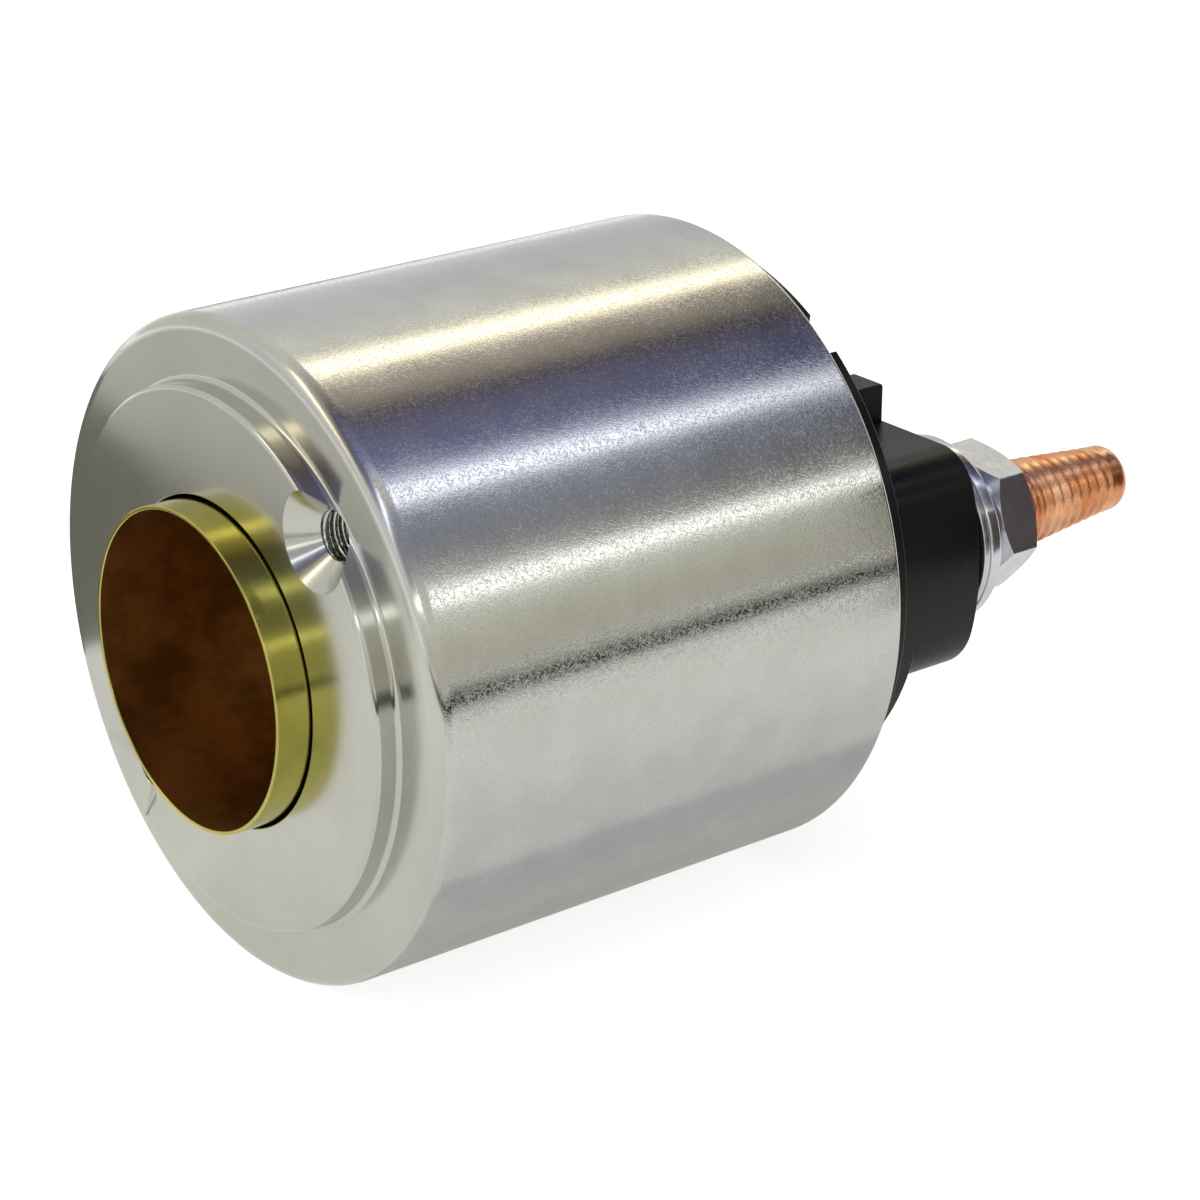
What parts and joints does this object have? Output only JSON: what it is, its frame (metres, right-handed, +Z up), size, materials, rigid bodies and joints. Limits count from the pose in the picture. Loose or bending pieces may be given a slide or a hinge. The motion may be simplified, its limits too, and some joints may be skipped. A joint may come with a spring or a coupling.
{
  "type": "starter solenoid",
  "caption": "Starter solenoid: plated steel can with a plunger tube in a raised mounting boss, coil and contact rod inside, and a black cap with copper terminal studs.",
  "frame": {"origin": "centre of the boss's front face, on the can's axis, inside the mouth of the plunger bore", "axes": "+X along the can's axis towards the terminals, +Z up, terminals side by side along Y"},
  "size_m": [0.0907, 0.058, 0.058],
  "materials": {
    "plated_steel": "satin zinc plating, lightly scuffed",
    "bright_zinc": "bright zinc plating",
    "core_steel": "plain machined steel",
    "spring_steel": "drawn wire",
    "tube_brass": "drawn, slightly tarnished",
    "copper": "bare rolled copper",
    "winding_wire": "enamelled wire",
    "paper": "varnished paper",
    "pale_plastic": "moulded, natural colour",
    "black_plastic": "moulded, satin",
    "seal_rubber": "plain"
  },
  "bodies": {
    "base": {"housing": "plated_steel", "guide_tube": "tube_brass", "fixed_core": "core_steel", "core_plate": "core_steel", "rod_bush": "tube_brass", "bobbin": "pale_plastic", "pull_in_winding": "winding_wire", "layer_insulation": "paper", "hold_in_winding": "winding_wire", "winding_wrap": "paper", "start_lead": "winding_wire", "motor_lead": "winding_wire", "start_sleeve": "paper", "motor_sleeve": "paper", "return_spring": "spring_steel", "cap_seal": "seal_rubber", "terminal_cap": "black_plastic", "start_blade": "plated_steel", "battery_bolt": "copper", "battery_seal": "seal_rubber", "battery_washer": "plated_steel", "battery_nut": "bright_zinc", "motor_bolt": "copper", "motor_seal": "seal_rubber", "motor_washer": "plated_steel", "motor_nut": "bright_zinc"},
    "rod": {"contact_rod": "core_steel", "stop_ring": "core_steel", "rod_clip": "spring_steel", "contact_spring": "spring_steel"},
    "bar": {"contact_bar": "copper", "insulating_bush": "pale_plastic", "insulating_washer": "pale_plastic"}
  },
  "joints": [
    {"name": "rod_slide", "type": "slide", "parent": "base", "child": "rod", "axis": [1, 0, 0], "range_m": [0, 0.004], "stiffness_N_per_m": 1500, "springref_m": -0.002, "deforming": ["return_spring"]},
    {"name": "bar_slide", "type": "slide", "parent": "rod", "child": "bar", "axis": [1, 0, 0], "range_m": [-0.0012, 0], "deforming": ["contact_spring"]}
  ],
  "couplings": [
    {"joint": "bar_slide", "follows": "rod_slide", "ratio": -0.3}
  ]
}
